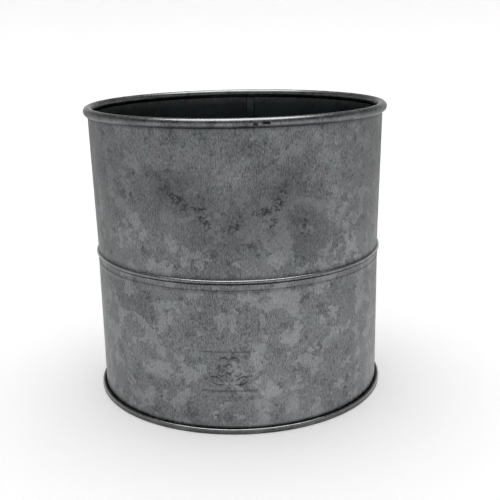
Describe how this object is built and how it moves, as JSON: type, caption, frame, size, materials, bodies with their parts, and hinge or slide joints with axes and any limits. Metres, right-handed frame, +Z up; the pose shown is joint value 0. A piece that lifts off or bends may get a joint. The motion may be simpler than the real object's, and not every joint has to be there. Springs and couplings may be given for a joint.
{
  "type": "florist bucket",
  "caption": "Straight round flower bucket in galvanised sheet steel, with a rolled wired rim, a bead round its waist and a double-seamed bottom.",
  "frame": {"origin": "centre of the foot ring, on the surface that the bucket stands on", "axes": "+Z up along the bucket's axis, -Y the front, with the side seam at the back, 7 degrees from +Y towards +X"},
  "size_m": [0.17, 0.17, 0.1645],
  "materials": {
    "galvanised_sheet": "hot-dip galvanised, dulled, with a visible zinc spangle",
    "steel_wire": "plain drawn wire, hidden in the rim",
    "seam_compound": "matt grey sealing compound"
  },
  "bodies": {
    "root": {"side_wall": "galvanised_sheet", "bottom_panel": "galvanised_sheet", "rim_wire": "steel_wire", "bottom_seam_sealant": "seam_compound", "side_seam_sealant": "seam_compound"}
  },
  "joints": []
}
